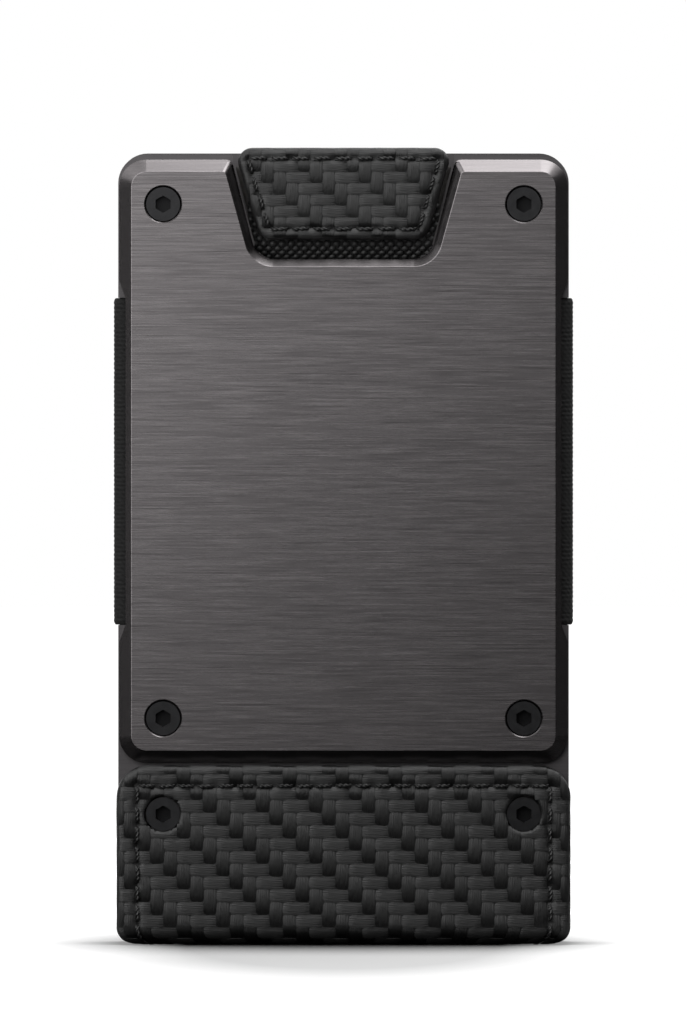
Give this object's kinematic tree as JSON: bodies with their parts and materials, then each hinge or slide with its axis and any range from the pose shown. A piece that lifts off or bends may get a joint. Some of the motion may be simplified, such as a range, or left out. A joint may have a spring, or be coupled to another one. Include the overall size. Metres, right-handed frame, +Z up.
{
  "type": "money clip",
  "caption": "Slim metal card holder with a pull tab, an elastic band, a stitched leather spine and a spring money clip on its back.",
  "frame": {"origin": "middle of the underside, where the leather spine rests, on the mid-plane of the card pocket", "axes": "+Z up along the card holder, -Y out of the front face with the pull tab, +X to the right seen from the front"},
  "size_m": [0.0612, 0.0191, 0.1062],
  "materials": {
    "anodised_plate": "brushed, anodised gunmetal",
    "anodised_chassis": "brushed, anodised gunmetal",
    "black_screw": "black oxide",
    "woven_leather": "black, embossed with a twill weave",
    "plain_leather": "black, smooth grain",
    "tab_board": "bonded leather board",
    "webbing": "black woven nylon",
    "elastic": "black woven elastic",
    "rivet_steel": "black oxide",
    "spring_steel": "brushed, dark coated"
  },
  "bodies": {
    "back_half": {"back_chassis": "anodised_chassis", "back_plate": "anodised_plate", "back_screw_bottom_left": "black_screw", "back_screw_bottom_right": "black_screw", "back_screw_top_left": "black_screw", "back_screw_top_right": "black_screw", "back_spine_screw_left": "black_screw", "back_spine_screw_right": "black_screw", "clip_foot": "spring_steel", "clip_screw_lower": "black_screw", "clip_screw_upper": "black_screw", "elastic_band": "elastic", "spine_leather": "woven_leather", "spine_lining": "plain_leather", "strap_fold_and_return": "webbing", "strap_rivet_left": "rivet_steel", "strap_rivet_right": "rivet_steel"},
    "front_half": {"front_chassis": "anodised_chassis", "front_plate": "anodised_plate", "front_screw_bottom_left": "black_screw", "front_screw_bottom_right": "black_screw", "front_screw_top_left": "black_screw", "front_screw_top_right": "black_screw", "front_spine_screw_left": "black_screw", "front_spine_screw_right": "black_screw"},
    "pull_tab": {"tab_front_leather": "woven_leather", "tab_core": "tab_board", "tab_back_leather": "plain_leather", "strap_sliding_run": "webbing"},
    "clip_tongue": {"clip_tongue": "spring_steel"}
  },
  "joints": [
    {"name": "spine_hinge", "type": "hinge", "parent": "back_half", "child": "front_half", "pos_m": [0, -0.0062, 0.001], "axis": [1, 0, 0], "range_deg": [-1.5, 8], "stiffness_Nm_per_rad": 4, "deforming": ["elastic_band", "spine_leather", "spine_lining"]},
    {"name": "tab_pull", "type": "slide", "parent": "front_half", "child": "pull_tab", "axis": [0, 0, 1], "range_m": [0, 0.05]},
    {"name": "clip_flex", "type": "hinge", "parent": "back_half", "child": "clip_tongue", "pos_m": [0, 0.0095, 0.0469], "axis": [-1, 0, 0], "range_deg": [0, 7], "stiffness_Nm_per_rad": 0.6}
  ]
}
